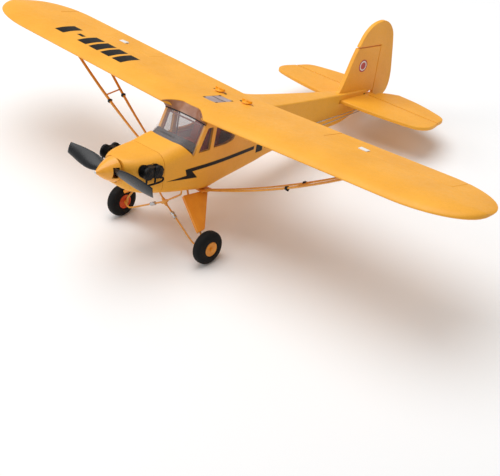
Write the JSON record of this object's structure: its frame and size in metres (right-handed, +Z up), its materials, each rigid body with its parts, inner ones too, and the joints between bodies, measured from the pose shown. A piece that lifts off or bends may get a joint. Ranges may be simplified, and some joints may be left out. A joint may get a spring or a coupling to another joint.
{
  "type": "model airplane",
  "caption": "Foam high-wing model airplane with strut-braced wing, tail-wheel landing gear, working control surfaces and a two-blade propeller.",
  "frame": {"origin": "middle of the airplane's footprint at ground level, standing on its three wheels", "axes": "+X to the airplane's left wing tip, -Y forward to the nose, +Z up"},
  "size_m": [0.6486, 0.4308, 0.1408],
  "materials": {
    "foam": "moulded foam, satin",
    "orange_plastic": "moulded",
    "black_plastic": "moulded",
    "tyre": "foam rubber",
    "clear": "clear sheet",
    "smoked": "smoked sheet",
    "tinted": "tinted sheet",
    "braces": "painted",
    "dash": "satin",
    "cockpit_red": "moulded",
    "steel": "plain",
    "aluminium": "machined",
    "painted_wire": "painted wire",
    "plywood": "plain",
    "carbon": "pultruded rod",
    "motor": "machined",
    "white_plastic": "moulded",
    "board": "circuit board",
    "battery_wrap": "shrink sleeve",
    "servo_case": "moulded"
  },
  "bodies": {
    "airframe": {"fuselage_left": "foam", "fuselage_right": "foam", "nose_cowl": "foam", "cowl_screws": "steel", "firewall": "plywood", "windshield": "clear", "roof_panel": "tinted", "side_windows": "smoked", "windshield_braces": "braces", "dash_panel": "dash", "cabin_seat": "cockpit_red", "battery": "battery_wrap", "receiver_board": "board", "fin": "foam", "engine_cylinders": "black_plastic", "exhaust_pipes": "black_plastic", "motor_base": "motor", "wing": "foam", "wing_spars": "carbon", "wing_seat": "black_plastic", "skylight": "tinted", "wing_struts": "orange_plastic", "jury_links": "black_plastic", "strut_brackets": "orange_plastic", "gear_legs": "orange_plastic", "gear_wires": "painted_wire", "cross_bracing": "painted_wire", "shock_sleeves": "aluminium", "axle_collars": "steel", "tailplane": "foam", "servos": "servo_case"},
    "propeller": {"motor_bell": "motor", "prop_hardware": "aluminium", "propeller": "black_plastic", "spinner": "foam"},
    "left_wheel": {"left_tyre": "tyre", "left_hub": "orange_plastic"},
    "right_wheel": {"right_tyre": "tyre", "right_hub": "orange_plastic"},
    "left_lock": {"left_wing_lock": "orange_plastic"},
    "right_lock": {"right_wing_lock": "orange_plastic"},
    "left_aileron": {"left_aileron": "foam", "left_aileron_horn": "white_plastic"},
    "left_aileron_arm": {"left_aileron_arm": "white_plastic"},
    "left_aileron_rod": {"left_aileron_rod": "steel"},
    "right_aileron": {"right_aileron": "foam", "right_aileron_horn": "white_plastic"},
    "right_aileron_arm": {"right_aileron_arm": "white_plastic"},
    "right_aileron_rod": {"right_aileron_rod": "steel"},
    "elevator": {"elevator": "foam", "elevator_horn": "white_plastic"},
    "elevator_arm": {"elevator_arm": "white_plastic"},
    "elevator_rod": {"elevator_pushrod": "steel"},
    "rudder": {"rudder": "foam", "rudder_horn": "white_plastic", "tail_wheel_wire": "steel"},
    "rudder_arm": {"rudder_arm": "white_plastic"},
    "rudder_rod": {"rudder_pushrod": "steel"},
    "tail_wheel": {"tail_wheel": "tyre"},
    "hatch": {"battery_hatch": "foam"}
  },
  "joints": [
    {"name": "propeller_spin", "type": "hinge", "parent": "airframe", "child": "propeller", "pos_m": [0, -0.19804, 0.1075], "axis": [0, 0.9663, -0.2574], "continuous": true},
    {"name": "left_wheel_spin", "type": "hinge", "parent": "airframe", "child": "left_wheel", "pos_m": [0.063, -0.13842, 0.017], "axis": [1, 0, 0], "continuous": true},
    {"name": "right_wheel_spin", "type": "hinge", "parent": "airframe", "child": "right_wheel", "pos_m": [-0.063, -0.13842, 0.017], "axis": [1, 0, 0], "continuous": true},
    {"name": "left_lock_turn", "type": "hinge", "parent": "airframe", "child": "left_lock", "pos_m": [0.019, -0.0343, 0.11614], "axis": [0, 0.2574, 0.9663], "range_deg": [0, 90]},
    {"name": "right_lock_turn", "type": "hinge", "parent": "airframe", "child": "right_lock", "pos_m": [-0.019, -0.0343, 0.11614], "axis": [0, 0.2574, 0.9663], "range_deg": [0, 90]},
    {"name": "left_aileron_hinge", "type": "hinge", "parent": "airframe", "child": "left_aileron", "pos_m": [0.122, -0.03631, 0.12022], "axis": [0.9993, 0.0098, 0.0369], "range_deg": [-20, 20]},
    {"name": "left_aileron_arm_turn", "type": "hinge", "parent": "airframe", "child": "left_aileron_arm", "pos_m": [0.1675, -0.06008, 0.12423], "axis": [1, 0, 0], "range_deg": [-32, 32]},
    {"name": "left_aileron_rod_slide", "type": "slide", "parent": "airframe", "child": "left_aileron_rod", "axis": [0, 0.9663, -0.2574], "range_m": [-0.004, 0.004]},
    {"name": "right_aileron_hinge", "type": "hinge", "parent": "airframe", "child": "right_aileron", "pos_m": [-0.122, -0.03631, 0.12022], "axis": [0.9993, -0.0098, -0.0369], "range_deg": [-20, 20]},
    {"name": "right_aileron_arm_turn", "type": "hinge", "parent": "airframe", "child": "right_aileron_arm", "pos_m": [-0.1675, -0.06008, 0.12423], "axis": [1, 0, 0], "range_deg": [-32, 32]},
    {"name": "right_aileron_rod_slide", "type": "slide", "parent": "airframe", "child": "right_aileron_rod", "axis": [0, 0.9663, -0.2574], "range_m": [-0.004, 0.004]},
    {"name": "elevator_hinge", "type": "hinge", "parent": "airframe", "child": "elevator", "pos_m": [0, 0.16908, 0.0366], "axis": [1, 0, 0], "range_deg": [-20, 20]},
    {"name": "elevator_arm_turn", "type": "hinge", "parent": "airframe", "child": "elevator_arm", "pos_m": [0.0151, -0.04395, 0.06438], "axis": [1, 0, 0], "range_deg": [-32, 32]},
    {"name": "elevator_rod_slide", "type": "slide", "parent": "airframe", "child": "elevator_rod", "axis": [-0.0145, 0.9889, -0.1476], "range_m": [-0.004, 0.004]},
    {"name": "rudder_hinge", "type": "hinge", "parent": "airframe", "child": "rudder", "pos_m": [0, 0.18589, 0.05696], "axis": [0, 0.2574, 0.9663], "range_deg": [-25, 25]},
    {"name": "rudder_arm_turn", "type": "hinge", "parent": "airframe", "child": "rudder_arm", "pos_m": [0.0149, -0.02458, 0.07101], "axis": [1, 0, 0], "range_deg": [-33, 33]},
    {"name": "rudder_rod_slide", "type": "slide", "parent": "airframe", "child": "rudder_rod", "axis": [-0.0386, 0.979, -0.2], "range_m": [-0.0041, 0.0041]},
    {"name": "tail_wheel_spin", "type": "hinge", "parent": "rudder", "child": "tail_wheel", "pos_m": [0, 0.19088, 0.00575], "axis": [1, 0, 0], "continuous": true},
    {"name": "hatch_lift", "type": "slide", "parent": "airframe", "child": "hatch", "axis": [0, -0.2574, -0.9663], "range_m": [0, 0.015]}
  ],
  "couplings": [
    {"joint": "right_aileron_hinge", "follows": "left_aileron_hinge", "ratio": -1},
    {"joint": "left_aileron_arm_turn", "follows": "left_aileron_hinge", "ratio": 1.5714},
    {"joint": "left_aileron_rod_slide", "follows": "left_aileron_hinge", "m_per_rad": 0.011},
    {"joint": "right_aileron_arm_turn", "follows": "left_aileron_hinge", "ratio": -1.5714},
    {"joint": "right_aileron_rod_slide", "follows": "left_aileron_hinge", "m_per_rad": -0.011},
    {"joint": "elevator_arm_turn", "follows": "elevator_hinge", "ratio": 1.5714},
    {"joint": "elevator_rod_slide", "follows": "elevator_hinge", "m_per_rad": 0.011},
    {"joint": "rudder_arm_turn", "follows": "rudder_hinge", "ratio": 1.2857},
    {"joint": "rudder_rod_slide", "follows": "rudder_hinge", "m_per_rad": 0.009}
  ]
}
